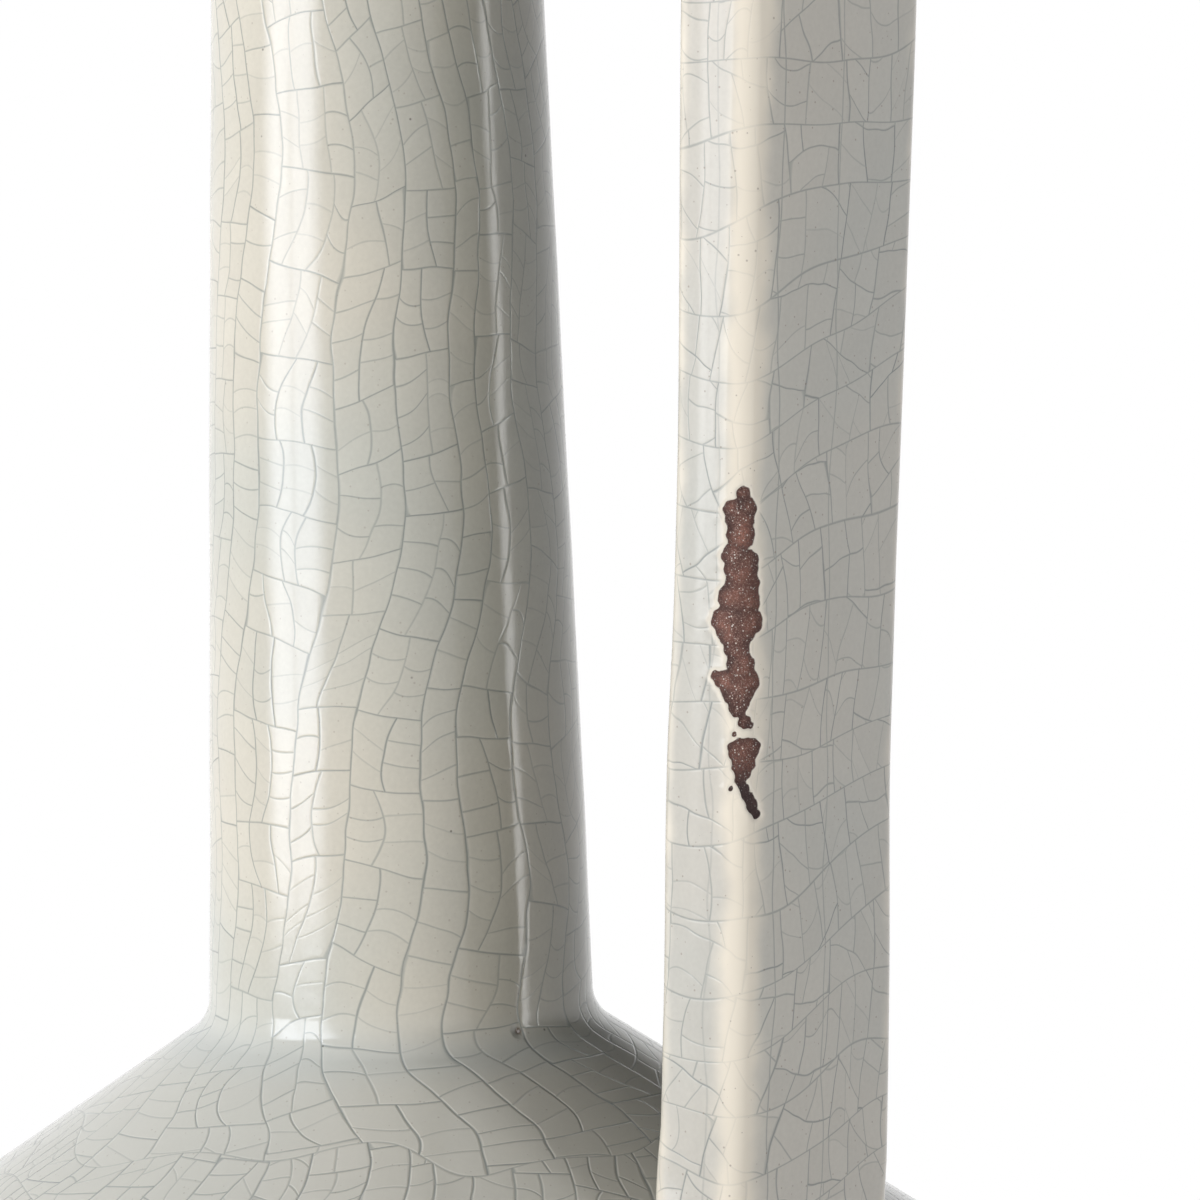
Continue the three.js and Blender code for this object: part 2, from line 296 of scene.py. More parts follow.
def lamp(name, turn, distance, height, width, tall, radiance, soft=0.0, bar=0.0, tint=(1, 1, 1),
         mirrored=True, lights=True):
    """A rectangular lamp. Turn is in degrees to the right of the camera, seen from the vase. Soft is the
    share of each side over which it fades out. Bar is how much an upright bar down its middle dims it.
    A lamp that isn't mirrored leaves no highlight, and one that doesn't light leaves nothing else."""
    angle = math.radians(turn)
    outward = towards_camera * math.cos(angle) + side * math.sin(angle)
    data = bpy.data.lights.new(name, "AREA")
    data.shape = "RECTANGLE"
    data.size = width
    data.size_y = tall
    data.energy = radiance * math.pi * width * tall
    data.color = tint
    if soft:
        recipe = recipe_for(data)
        across, upright, _ = recipe.value("NewGeometry", (), "Parametric").split()
        level = soft_sides(across, soft) * soft_sides(upright, 0.4 * soft)
        level = level * abs(across - 0.5).ease(0.0, bar_half, 1.0 - bar, 1.0)
        emission = recipe.value("Emission", {"Color": white, "Strength": level})
        recipe.node("OutputLight", {"Surface": emission})
    made = placed(name, data)
    spot = outward * distance + Vector((0, 0, height))
    facing = Vector((0, 0, aim_height)) - spot
    made.matrix_world = Matrix.Translation(spot) @ facing.to_track_quat("-Z", "Y").to_matrix().to_4x4()
    made.visible_camera = False
    made.visible_glossy = mirrored
    made.visible_diffuse = lights
    print(name, [round(c, 2) for c in spot], round(data.energy, 2), "W")


lamp("softbox", -60.5, 0.9, 0.38, 0.86, 0.78, 3.4, soft=0.3, bar=0.3, tint=(0.97, 0.99, 1.02))
lamp("softbox_glare", -60.5, 0.905, 0.38, 0.86, 0.78, 2.8, soft=0.3, bar=0.3, tint=(0.88, 0.97, 1.16),
     lights=False)
lamp("left_panel", -36, 1.0, 0.13, 0.5, 0.46, 6.8, tint=(1.04, 1.0, 0.95), mirrored=False)
lamp("back_panel", -116, 1.0, 0.75, 0.5, 0.5, 6.8, mirrored=False)
lamp("rear_panel", 180, 1.0, 0.20, 0.6, 0.4, 2.0, mirrored=False)
lamp("right_panel", 48, 1.0, 0.22, 0.28, 0.4, 6.6, mirrored=False)
lamp("handle_panel", 48, 1.005, 0.22, 0.28, 0.4, 3.0, mirrored=False)
lamp("edge_strip", 79, 0.45, 0.25, 0.10, 0.50, 3.8, soft=0.5, lights=False)

# %% [markdown]
# ## Surfaces from grids
#
# Each piece is a grid of points worked out as one numpy array: rows along a profile or path, columns
# around it. One helper turns such an array into a closed mesh. Columns always wrap round. Rows either
# wrap too, which makes a ring with a wall, or each end is closed by a fan of triangles on one point.

# %% Grid to mesh


def round_quads(grid, low, high, left, to_the_right):
    """What a grid holds at the four corners of each quad, in order round the quad."""
    around = ((low, left), (low, to_the_right), (high, to_the_right), (high, left))
    return np.stack([grid[np.ix_(*corner)] for corner in around], axis=2)


def stacked(*arrays):
    """Arrays stretched to one shape and put side by side along a new last axis."""
    return np.stack(np.broadcast_arrays(*arrays), axis=-1)


def grid_piece(name, points, rows_closed, caps=(), sharp_rows=(), corner=None, **fields):
    """A piece from points[row, column] in mm. Columns wrap round. Faces are the quads between
    neighbouring rows and columns, plus a fan on each cap point. Corner is an array of three numbers for
    each [row, column + 1 extra], kept per face corner so that it can run past the seam. Fields are
    numbers for each [row, column]."""
    rows, columns = points.shape[:2]
    low, left = np.arange(rows if rows_closed else rows - 1), np.arange(columns)
    high, to_the_right = (low + 1) % rows, (left + 1) % columns
    index = np.arange(rows * columns).reshape(rows, columns)
    quads = round_quads(index, low, high, left, to_the_right).reshape(-1, 4)
    vertices = points.reshape(-1, 3)
    fans = [np.zeros((0, 3), int)]
    for row, cap in zip((0, rows - 1), caps):
        ring = index[row]
        pole = np.full(columns, len(vertices))
        vertices = np.vstack([vertices, np.reshape(cap, (1, 3))])
        around = (ring[to_the_right], ring) if row == 0 else (ring, ring[to_the_right])
        fans.append(np.stack([*around, pole], axis=-1))
    fan = np.concatenate(fans)

    mesh = bpy.data.meshes.new(name)
    mesh.from_pydata((vertices * MM).tolist(), [], quads.tolist() + fan.tolist())
    mesh.shade_smooth()
    if corner is not None:
        wide = round_quads(corner, low, high, left, left + 1).reshape(-1, 3)
        wide = np.vstack([wide, np.zeros((fan.size, 3))])
        layer = mesh.attributes.new("crackle_place", "FLOAT_VECTOR", "CORNER")
        layer.data.foreach_set("vector", wide.astype(np.float32).ravel())
    for field, numbers in fields.items():
        spread_out = np.broadcast_to(numbers, (rows, columns)).ravel()
        padded = np.concatenate([spread_out, np.zeros(len(vertices) - rows * columns)])
        layer = mesh.attributes.new(field, "FLOAT", "POINT")
        layer.data.foreach_set("value", padded.astype(np.float32))
    if len(sharp_rows):
        ends = np.zeros(len(mesh.edges) * 2, np.int32)
        mesh.edges.foreach_get("vertices", ends)
        edge_rows = ends.reshape(-1, 2) // columns
        sharp = (edge_rows[:, 0] == edge_rows[:, 1]) & np.isin(edge_rows[:, 0], sharp_rows)
        layer = mesh.attributes.new("sharp_edge", "BOOLEAN", "EDGE")
        layer.data.foreach_set("value", sharp)
    mesh.validate()
    piece = placed(name, mesh)
    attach(piece, BODY)
    print(name, "triangles:", 2 * len(quads) + len(fan))
    return piece


# %% [markdown]
# ## The vessel's outline
#
# The whole pot is one outline turned round the axis: a bowl that sweeps up from the foot, a rounded
# belly, a straight cone, a small hollow where a coil is smoothed into the corner, and a neck that
# tapers and flares again at the mouth. The outline of the clay follows the CAD model's sizes, which
# come from the frame where a box gives them. The glaze is the same outline moved outwards.

# %% Sizes of the clay
coat_outside = 1.2
coat_inside = 0.3
foot_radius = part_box("foot_ring")[1].x / MM
foot_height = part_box("foot_ring")[1].z / MM
foot_width = 8.0
body_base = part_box("lower_body")[0].z / MM
floor_top = body_base + 6.0
belly_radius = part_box("lower_body")[1].x / MM
belly_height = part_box("lower_body")[1].z / MM
shoulder_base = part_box("shoulder")[0].z / MM
neck_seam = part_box("shoulder")[1].z / MM
lip_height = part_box("neck")[1].z / MM - 1.8
neck_radius = 20.4
neck_taper = 0.0281
neck_wall = 3.6
body_wall = 5.0
mouth_radius = 19.6
flare_length = 24.0
turn_radius = 21.0
coil_radius = 6.2
cone_slope = math.radians(33.6)
bowl_sweep = 22.0
bowl_sweep_slope = math.radians(28)
bowl_pull = 36.0
coil_top = neck_seam + coil_radius / math.tan((math.pi / 2 + cone_slope) / 2)
print("belly", round(belly_radius, 2), "seam", round(neck_seam, 2), "lip", round(lip_height, 2))

# %% Outline of the clay


def bezier(controls, count):
    """Points on a Bezier curve: each control is weighed by its Bernstein polynomial."""
    controls = np.array(controls, float)
    t = np.linspace(0, 1, count)[:, None]
    order = len(controls) - 1
    weights = [math.comb(order, k) * t ** k * (1 - t) ** (order - k) for k in range(order + 1)]
    return sum(weight * point for weight, point in zip(weights, controls))


def arc(centre, radius, start, end, count):
    """Points on a circle's arc between two angles."""
    angle = np.linspace(start, end, count)
    return np.stack([centre[0] + radius * np.cos(angle), centre[1] + radius * np.sin(angle)], axis=1)


def joined(*runs):
    """Runs of points as one run, without the point that each shares with the next."""
    return np.vstack([runs[0]] + [run[1:] for run in runs[1:]])


def moved_out(profile, distance):
    """A profile moved along its own normal, which is its tangent turned a right angle outwards."""
    tangent = np.gradient(profile, axis=0)
    tangent /= np.linalg.norm(tangent, axis=1)[:, None]
    return profile + distance * np.stack([tangent[:, 1], -tangent[:, 0]], axis=1)


def length_along(points):
    """How far each point lies along its run: the sum of the steps up to it."""
    return np.concatenate([[0], np.cumsum(np.linalg.norm(np.diff(points, axis=0), axis=1))])


def bowl_curve(radius, base, widest, count):
    """A bowl's profile: it leaves its base at the sweep's slope and ends upright where it is widest."""
    out, rise = bowl_sweep * math.cos(bowl_sweep_slope), bowl_sweep * math.sin(bowl_sweep_slope)
    low_end = [(radius, base), (radius + out, base + rise)]
    return bezier([*low_end, (widest, belly_height - bowl_pull), (widest, belly_height)], count)


def neck_radius_at(height):
    return neck_radius - neck_taper * np.maximum(height - coil_top, 0)


flare_base = lip_height - flare_length
flare_middle = flare_base + flare_length / 2
bowl_line = bowl_curve(foot_radius, body_base, belly_radius, 97)
seam_split = (belly_radius, (belly_height + shoulder_base) / 2)
turn_line = arc((belly_radius - turn_radius, shoulder_base), turn_radius, 0, math.pi / 2 - cone_slope, 33)
coil_line = arc((neck_radius + coil_radius, coil_top), coil_radius, 1.5 * math.pi - cone_slope, math.pi, 25)
cone_line = np.linspace(turn_line[-1], coil_line[0], 41)
neck_split = (neck_radius_at(coil_top + 0.6), coil_top + 0.6)
neck_line = np.linspace(neck_split, (neck_radius_at(flare_base), flare_base), 65)
flare_line = bezier([
    neck_line[-1], (neck_radius_at(flare_middle), flare_middle), (mouth_radius, lip_height),
], 21)
lip_line = arc((mouth_radius - neck_wall / 2, lip_height), neck_wall / 2, 0, math.pi, 25)
clay_outline = joined(
    bowl_line, np.linspace(bowl_line[-1], seam_split, 3), np.linspace(seam_split, turn_line[0], 3), turn_line,
    cone_line, coil_line, np.linspace(coil_line[-1], neck_split, 3), neck_line, flare_line, lip_line,
)
# Numbers of the outline's points at the bowl's end, the cone's top and the neck's start
bowl_end = len(bowl_line) + 1
cone_end = bowl_end + len(turn_line) + len(cone_line)
neck_start = cone_end + len(coil_line) + 1
finished = moved_out(clay_outline, coat_outside)
under_coat = moved_out(clay_outline, coat_inside)
run_length = length_along(finished)
print("outline points:", len(finished), "length", round(run_length[-1], 1), "mm")

# %% [markdown]
# ## Where the crackle lies
#
# The crackle is a network of fine cracks, worked out later in the glaze's nodes. It needs to know where
# a point lies on the pot: how far round it is, how far along the outline, and which ring of cells it
# is in. Rings keep the cells equally large on the wide belly and the thin neck, because each ring
# has its own number of cells. The long cracks of the neck run on over the hollow corner, so the neck and
# the top of the shoulder are one ring.

# %% Rings of cells
ring_length = 10.0
long_ring_reach = 10.0
long_ring_radius = 20.5
ring_place = (run_length - (run_length[cone_end] - long_ring_reach)) / ring_length
ring_count = int(np.ceil(-ring_place[0])) + 1
ring_place = ring_place + ring_count
rising = ring_place + np.linspace(0, 1e-6, len(ring_place))
ring_radius = np.interp(np.arange(ring_count + 2), rising, finished[:, 0])
ring_radius[ring_count:] = long_ring_radius
print("rings:", ring_count, "radii", np.round(ring_radius, 1))

# %% [markdown]
# ## Coats of glaze on the vessel
#
# A coat is a closed skin: its front is the finished outline, its back lies just off the clay, and
# the two are joined at both edges. Potter's hands leave the surface a little uneven, so the front swells
# and dips by about a tenth of a millimetre in long slow waves. The coats of bowl, shoulder and neck
# meet edge to edge where the outline is straight, and so the joints don't show.

# %% Coats


def waves(angle, height):
    """Slow unevenness in mm: a few sines that close after one turn."""
    return (0.07 * np.sin(2 * angle + 0.031 * height + 0.6) + 0.03 * np.sin(3 * angle - 0.083 * height)
            + 0.02 * np.sin(0.21 * height + 1.7 * np.sin(angle)) + 0.012 * np.sin(5 * angle + 0.4 * height))


def turned_grid(profile, columns, uneven=False):
    """A profile in radius and height carried round the axis, starting behind the handle."""
    angle = np.linspace(0, 2 * np.pi, columns, endpoint=False)
    radius = profile[:, :1] + np.reshape(uneven, (-1, 1)) * waves(angle, profile[:, 1:])
    return stacked(radius * np.cos(angle), radius * np.sin(angle), profile[:, 1:])


def bump_at(value, middle, spread):
    """1 at the middle, falling smoothly to 0 a few spreads away."""
    return np.exp(-((value - middle) / spread) ** 2)


bare_strip = 3.0
crease_drop = 5.5
lip_spread, edge_spread, pool_spread = 3.2, 1.6, 3.4
glaze_line = int(np.argmax(bowl_line[:, 0] > foot_radius + bare_strip))
crease = run_length[neck_start] - crease_drop
lip_middle = run_length[-1] - 0.5 * math.pi * (neck_wall / 2 + coat_outside)
thin_edge = 0.75 * bump_at(run_length, run_length[glaze_line], edge_spread)
thin_places = bump_at(run_length, lip_middle, lip_spread) + thin_edge
pool_places = bump_at(run_length, crease, pool_spread)


def coat_piece(name, first, last, columns, node):
    """The coat on one stretch of the outline, as a closed ring: front upwards, then back downwards."""
    stretch = slice(first, last + 1)
    front = finished[stretch]
    back = under_coat[stretch][::-3].copy()
    back[0], back[-1] = under_coat[last], under_coat[first]
    loop = np.vstack([front, back])

    def on_loop(numbers, behind):
        return np.concatenate([numbers[stretch], np.full(len(back), behind)])[:, None]

    turns = np.linspace(0, 1, columns + 1)
    where = stacked(turns, on_loop(run_length, run_length[first]), on_loop(ring_place, ring_place[first]))
    outside = np.arange(len(loop)) < len(front)
    piece = grid_piece(
        name, turned_grid(loop, columns, outside), True, corner=where,
        sharp_rows=[0, len(front) - 1, len(front), len(loop) - 1],
        thin=on_loop(thin_places, 0.0), pool=on_loop(pool_places, 0.0),
    )
    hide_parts(node)
    return piece


coats = [
    coat_piece("lower_body_coat", glaze_line, bowl_end, 256, "lower_body_glaze"),
    coat_piece("shoulder_coat", bowl_end, neck_start, 256, "shoulder_glaze"),
    coat_piece("neck_coat", neck_start, len(finished) - 1, 224, "neck_glaze"),
]


def light_only(lamp_name, pieces):
    """Lets a lamp reach these pieces and nothing else."""
    reached = bpy.data.collections.new(f"{lamp_name}_reaches")
    for piece in pieces:
        reached.objects.link(piece)
    bpy.data.objects[lamp_name].light_linking.receiver_collection = reached


light_only("edge_strip", coats)
light_only("softbox_glare", coats)

# %% [markdown]
# ## The liner
#
# The inside is glazed too, so that the vase holds water. It starts at the lip, runs down the neck, opens
# out under the shoulder and ends in the middle of the floor. Little of it is seen, only through the
# mouth, but it closes the view into the neck.

# %% Liner
near_axis = 0.5
floor_edge = 37.0
liner_columns = 128
neck_foot = (neck_radius, neck_seam)
inside_neck = moved_out(joined(np.linspace(neck_foot, neck_line[0], 5), neck_line, flare_line), -neck_wall)
inside_cone = moved_out(joined(turn_line, np.linspace(turn_line[-1], neck_foot, 21)), -body_wall)
inside_bowl = bowl_curve(floor_edge + 1.0, floor_top, belly_radius - body_wall, 49)
below_bore = inside_cone[:, 0] > inside_neck[0, 0]
inside_line = np.vstack([
    np.linspace((near_axis, floor_top), (floor_edge, floor_top), 15), inside_bowl, inside_cone[below_bore],
    inside_neck[:-1], [(mouth_radius - neck_wall, lip_height)],
])
liner_front = moved_out(inside_line, -coat_outside)
liner_front[-1] = (mouth_radius - neck_wall - coat_outside, lip_height)
liner_back = moved_out(inside_line, -coat_inside)
liner_loop = np.vstack([liner_back[::2], liner_back[-1:], liner_front[::-1]])
liner_turns = np.linspace(0, 1, liner_columns + 1)
liner = grid_piece(
    "liner", turned_grid(liner_loop, liner_columns), False,
    caps=[(0, 0, liner_loop[0, 1]), (0, 0, liner_loop[-1, 1])],
    corner=stacked(liner_turns, length_along(liner_loop)[:, None], ring_count + 5.0),
    sharp_rows=[len(liner_back[::2])], thin=0.0, pool=0.0,
)
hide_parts("liner_glaze")

# %% [markdown]
# ## Bare clay at the foot
#
# The pot stands on a turned foot ring. Glaze would stick to the kiln shelf, so the ring, the strip above
# it and the base inside it stay bare. The ring has worn, rounded edges and is held by a thin squeezed
# line of slip. The bowl's clay is made again here with a smooth outline, because its lowest strip shows.

# %% Foot, slip line and bowl
foot_columns = 192


def ring_piece(name, runs, node):
    """A closed outline in radius and height, turned round the axis into a ring."""
    piece = grid_piece(name, turned_grid(np.vstack(runs), foot_columns), True)
    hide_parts(node)
    return piece


foot_inner = foot_radius - foot_width
worn = 1.2
edge = 0.4
foot_piece = ring_piece("foot_ring_turned", [
    arc((foot_radius - worn, worn), worn, -math.pi / 2, 0, 9),
    np.linspace((foot_radius, worn + edge), (foot_radius, foot_height), 5),
    np.linspace((foot_radius - edge, foot_height), (foot_inner + edge, foot_height), 4),
    np.linspace((foot_inner, foot_height), (foot_inner, worn + edge), 5),
    arc((foot_inner + worn, worn), worn, math.pi, 1.5 * math.pi, 9),
], "foot_ring")
slip_middle, slip_half = (foot_height + body_base) / 2, (body_base - foot_height) / 2
slip_piece = ring_piece("foot_slip_line", [
    arc((foot_radius, slip_middle), slip_half, -math.pi / 2, math.pi / 2, 9),
    arc((foot_inner, slip_middle), slip_half, math.pi / 2, 1.5 * math.pi, 9),
], "foot_slip_seam")
bowl_base = np.linspace((near_axis, body_base), (foot_radius - edge, body_base), 12)
bowl_floor = np.linspace((floor_edge, floor_top), (near_axis, floor_top), 9)
bowl_loop = np.vstack([bowl_base, bowl_line, inside_bowl[::-2], bowl_floor])
bowl_piece = grid_piece(
    "bowl_clay", turned_grid(bowl_loop, foot_columns), False, caps=[(0, 0, body_base), (0, 0, floor_top)],
    sharp_rows=[len(bowl_base) - 1, len(bowl_base) - 1 + len(bowl_line)],
)
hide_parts("lower_body")

# %% [markdown]
# ## The strap handle
#
# The handle is a flat strap with rounded corners. It rises from the shoulder, leans out a little, turns
# at an elbow and runs in to the neck. It is made by carrying a rounded rectangle along that path. Near
# each end the rows of points bend until they lie on the vessel, and spread in a hollow curve, as wet
# clay does when a thumb smooths it down. The width and thickness change slowly along the path, as they
# do on a strap pulled by hand. The clay under the coat is the same shape a little smaller.

# %% Section of the strap
corner_radius = 2.7
face_swelling, edge_swelling = 0.3, 0.1
pressed_depth = 0.85


def corner_run(out, across, start, count):
    """A rounded corner: the core point stays and the normal turns a quarter from the start angle."""
    angle = np.radians(start + 90 * (np.arange(count) + 0.5) / count)
    still = np.ones(count)
    return np.stack([out * still, across * still, np.cos(angle), np.sin(angle), 0 * still])


def face_run(first, last, shares):
    """A flat face: the core point moves from one corner to the next. The last row is its swelling."""
    first, last, shares = np.array(first), np.array(last), np.asarray(shares, float)
    core = first[:, None] + (last - first)[:, None] * shares
    step = (last - first) / 2
    still = np.ones(len(shares))
    from_middle, most = (core[1], face_swelling) if step[1] else (core[0], edge_swelling)
    swollen = most * (1 - from_middle ** 2) ** 2
    return np.vstack([core, [step[1] * still, -step[0] * still], [swollen]])


whole_face = (np.arange(10) + 0.5) / 10
ridge_start = np.concatenate([np.linspace(0.012, 0.17, 14), np.linspace(0.21, 0.97, 16)])
core_out, core_across, normal_out, normal_across, swelling = np.hstack([
    face_run((-1, 0), (-1, -1), whole_face),
    corner_run(-1, -1, 180, 8),
    face_run((-1, -1), (1, -1), (np.arange(20) + 0.5) / 20),
    corner_run(1, -1, 270, 24),
    face_run((1, -1), (1, 1), ridge_start),
    corner_run(1, 1, 0, 10),
    face_run((1, 1), (-1, 1), whole_face),
    corner_run(-1, 1, 90, 8),
    face_run((-1, 1), (-1, 0), whole_face),
])
normal_size = np.hypot(normal_out, normal_across)
normal_out, normal_across = normal_out / normal_size, normal_across / normal_size


def strap_section(width, thickness, grow=0.0):
    """Out and across of a rounded rectangle, in rows of equal size: the core moved along its normal."""
    width, thickness, grow = (np.reshape(v, (-1, 1)) for v in (width, thickness, grow))
    out = core_out * (thickness / 2 - corner_radius) + (corner_radius + grow + swelling) * normal_out
    across = core_across * (width / 2 - corner_radius) + (corner_radius + grow + swelling) * normal_across
    return out, across


plain = stacked(*strap_section(28.0, 10.4))[0]
round_strap = length_along(np.vstack([plain, plain[:1]]))
girth = round_strap[-1]
ridge_middle = np.argmax(normal_out - normal_across)
off_ridge = round_strap[:-1] - round_strap[ridge_middle]
swelling = swelling - pressed_depth * np.exp(-(off_ridge / np.where(off_ridge > 0, 4.0, 3.2)) ** 2)
print("strap columns:", len(core_out), "girth", round(girth, 1), "mm")

# %% Path of the strap
handle_reach = 54.4
handle_lean = 0.05
arm_height = lip_height - 35.0
elbow_size = 17.0
root_height = 108.0
root_rise = 22.0
fillet = 5.0
sunk = 0.25
# Height up the strap, width and thickness there, in mm
strap_sizes = np.array([
    (100, 27.9, 11.2), (123, 27.6, 11.2), (144, 27.0, 11.3), (155, 26.85, 11.2), (168, 27.0, 10.9),
    (180, 27.4, 10.2), (195, 28.0, 9.9), (210, 28.25, 10.15), (225, 28.7, 10.3), (237, 28.95, 10.5),
    (262, 29.0, 10.4), (290, 29.0, 10.3),
])


def strap_middle(height):
    """How far out the strap's middle is: a straight lean, pulled in low down and out again above."""
    pulled = -0.42 * np.exp(-((height - 160) / 15) ** 2) + 0.2 / (1 + np.exp(-(height - 190) / 4))
    return handle_reach + handle_lean * (height - neck_seam) + pulled


def strap_size(height):
    """Width and thickness: the table read off with straight lines and then smoothed over 10 mm."""
    near = [np.asarray(height) + shift for shift in np.linspace(-5, 5, 11)]
    heights, *sizes = strap_sizes.T
    return [np.mean([np.interp(h, heights, size) for h in near], axis=0) for size in sizes]


def cone_height(x, y):
    """Height of the finished shoulder under a point: the cone falls with the distance from the axis."""
    return cone_top - (np.hypot(x, y) - cone_top_radius) * math.tan(cone_slope)


def neck_reach(y, z):
    """How far out the finished neck is at a height, measured along x at a distance y to the side."""
    radius = neck_radius_at(z) + coat_outside
    return np.sqrt(np.maximum(radius ** 2 - y ** 2, 1.0))


cone_top_radius, cone_top = finished[cone_end]
root_middle = strap_middle(root_height)
root_plane = cone_height(strap_middle(110.0), 0.0) + root_rise
root_width, root_thickness = strap_size(112.0)
elbow_start = arm_height - elbow_size
elbow_corner = strap_middle(arm_height)
# Widths where the elbow starts, where it ends and where the arm ends, and the steps between them
elbow_width, arm_width, arm_end_width = 29.0, 26.6, 21.4
elbow_narrowing, arm_narrowing = 2.4, 5.2
arm_thickness = 10.3
# The hollow curve at a root, in rows: how far they spread, how high they lie, how near the root they are
hollow = np.linspace(0, math.pi / 2, 15)[:, None]
hollow_rise = fillet * (1 - np.sin(hollow)) - sunk * (np.sin(hollow) > 0.99)
flare = np.stack([fillet * (1 - np.cos(hollow)), hollow_rise, np.clip(1 - hollow_rise / fillet, 0, 1) ** 2])
print("strap from", round(float(root_plane), 1), "to", round(arm_height, 1), "mm")

# %% Rows of the strap
fine_start, fine_end, fine_step = 154, 193.6, 0.22
settle_height = 8.0
strap_rows, along_rows, root_rows, normal_rows = [], [], [], []


def keep_rows(x, y, z, along, root, cosine=1.0, sine=0.0):
    """Puts rows aside: their points, how far along the strap they are, how near to a root (0 to 1) and
    the section's normals, which lean with the section."""
    points = stacked(x, y, z)
    strap_rows.append(points)
    along_rows.append(np.broadcast_to(along, points.shape[:2]))
    root_rows.append(np.broadcast_to(root, points.shape[:2]))
    normal_rows.append(stacked(cosine * normal_out, normal_across, sine * normal_out, x)[..., :3])


# The lower root, out of the shoulder
spread, rise, root = flare[:, ::-1]
out, across = strap_section(root_width, root_thickness, spread)
x = root_middle + out
z = cone_height(x, across) + rise
keep_rows(x, across, z, z - spread, root)

# From rows that follow the shoulder to level ones
share = np.linspace(0, 1, 24)[1:, None] ** 1.15
out, across = strap_section(root_width, root_thickness)
foot_z = cone_height(root_middle + out, across) + fillet
z = foot_z + share * (root_plane - foot_z)
width, thickness = strap_size(z)
near = np.clip((z - foot_z) / settle_height, 0, 1)
scale_out = 1 + near * (thickness / root_thickness - 1)
scale_across = 1 + near * (width / root_width - 1)
middle = root_middle + near * (strap_middle(z) - root_middle)
keep_rows(middle + out * scale_out, across * scale_across, z, z, 0.0)

# The long upright, with fine rows where the bare patch is
heights = np.concatenate([
    np.linspace(root_plane, fine_start, 14)[1:-1], np.arange(fine_start, fine_end, fine_step),
    np.linspace(194.5, elbow_start, 36),
])[:, None]
out, across = strap_section(*strap_size(heights))
keep_rows(strap_middle(heights) + out, across, heights, heights, 0.0)

# The elbow, where the section turns from level to upright
bend = bezier([
    (strap_middle(elbow_start), elbow_start), (elbow_corner, arm_height),
    (elbow_corner - elbow_size, arm_height),
], 27)
tangent = np.gradient(bend, axis=0)
tilt = np.arctan2(-tangent[:, 0], tangent[:, 1])
tilt = (tilt - tilt[0]) / (tilt[-1] - tilt[0]) * math.pi / 2
cosine, sine = np.cos(tilt[1:, None]), np.sin(tilt[1:, None])
bend_along = elbow_start + length_along(bend)
narrowed = np.linspace(0, 1, len(bend) - 1)[:, None] ** 2 * elbow_narrowing
out, across = strap_section(elbow_width - narrowed, arm_thickness)
x, z = bend[1:, :1] + out * cosine, bend[1:, 1:] + out * sine
keep_rows(x, across, z, bend_along[1:, None], 0.0, cosine, sine)

# The arm, and the upper root on the neck
arm_along = bend_along[-1] + bend[-1, 0]
share = np.linspace(0, 1, 16)[1:, None]
out, across = strap_section(arm_width - arm_narrowing * share ** 0.9, arm_thickness)
inner = neck_reach(across, arm_height + out) + fillet
x = bend[-1, 0] + share * (inner - bend[-1, 0])
keep_rows(x, across, arm_height + out, arm_along - x, 0.0, 0.0, 1.0)
spread, rise, root = flare[:, 1:]
out, across = strap_section(arm_end_width, arm_thickness, spread)
x = neck_reach(across, arm_height + out) + rise
keep_rows(x, across, arm_height + out, arm_along - x + spread, root, 0.0, 1.0)

strap_points, strap_normals, strap_along, strap_root = (
    np.concatenate(rows) for rows in (strap_rows, normal_rows, along_rows, root_rows))
strap_ends = [(root_middle, 0, cone_height(root_middle, 0) - 1.5),
              (neck_reach(0.0, arm_height) - 1.8, 0, arm_height)]
print("strap rows:", len(strap_points))

# %% Clay of the strap
clay_depth = 0.9
low_rows, high_rows = len(strap_rows[0]), len(strap_rows[-1])
pressed_in = np.array([[-0.5], [2.5]])
out, across = strap_section(root_width, root_thickness, -clay_depth)
x = root_middle + out
low_end = stacked(x, across, cone_height(x, across) + pressed_in)
out, across = strap_section(arm_end_width, arm_thickness, -clay_depth)
z = arm_height + out
high_end = stacked(neck_reach(across, z) + pressed_in[::-1], across, z)
between = (strap_points - clay_depth * strap_normals)[low_rows:-high_rows:3]
strap_clay = grid_piece("strap_clay", np.concatenate([low_end, between, high_end]), False, caps=strap_ends)
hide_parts("handle_strap")

# %% [markdown]
# ## The bare patch
#
# On the corner that faces the room the glaze has crawled away while it melted, and left a ragged strip of
# dark clay with a rounded, creamy edge. Its outline is built from overlapping discs. The distance to the
# nearest disc is worked out for every point of the strap: inside it the surface drops to the clay, just
# outside it the glaze piles up into a bead, and the same number tells the material where to show clay.

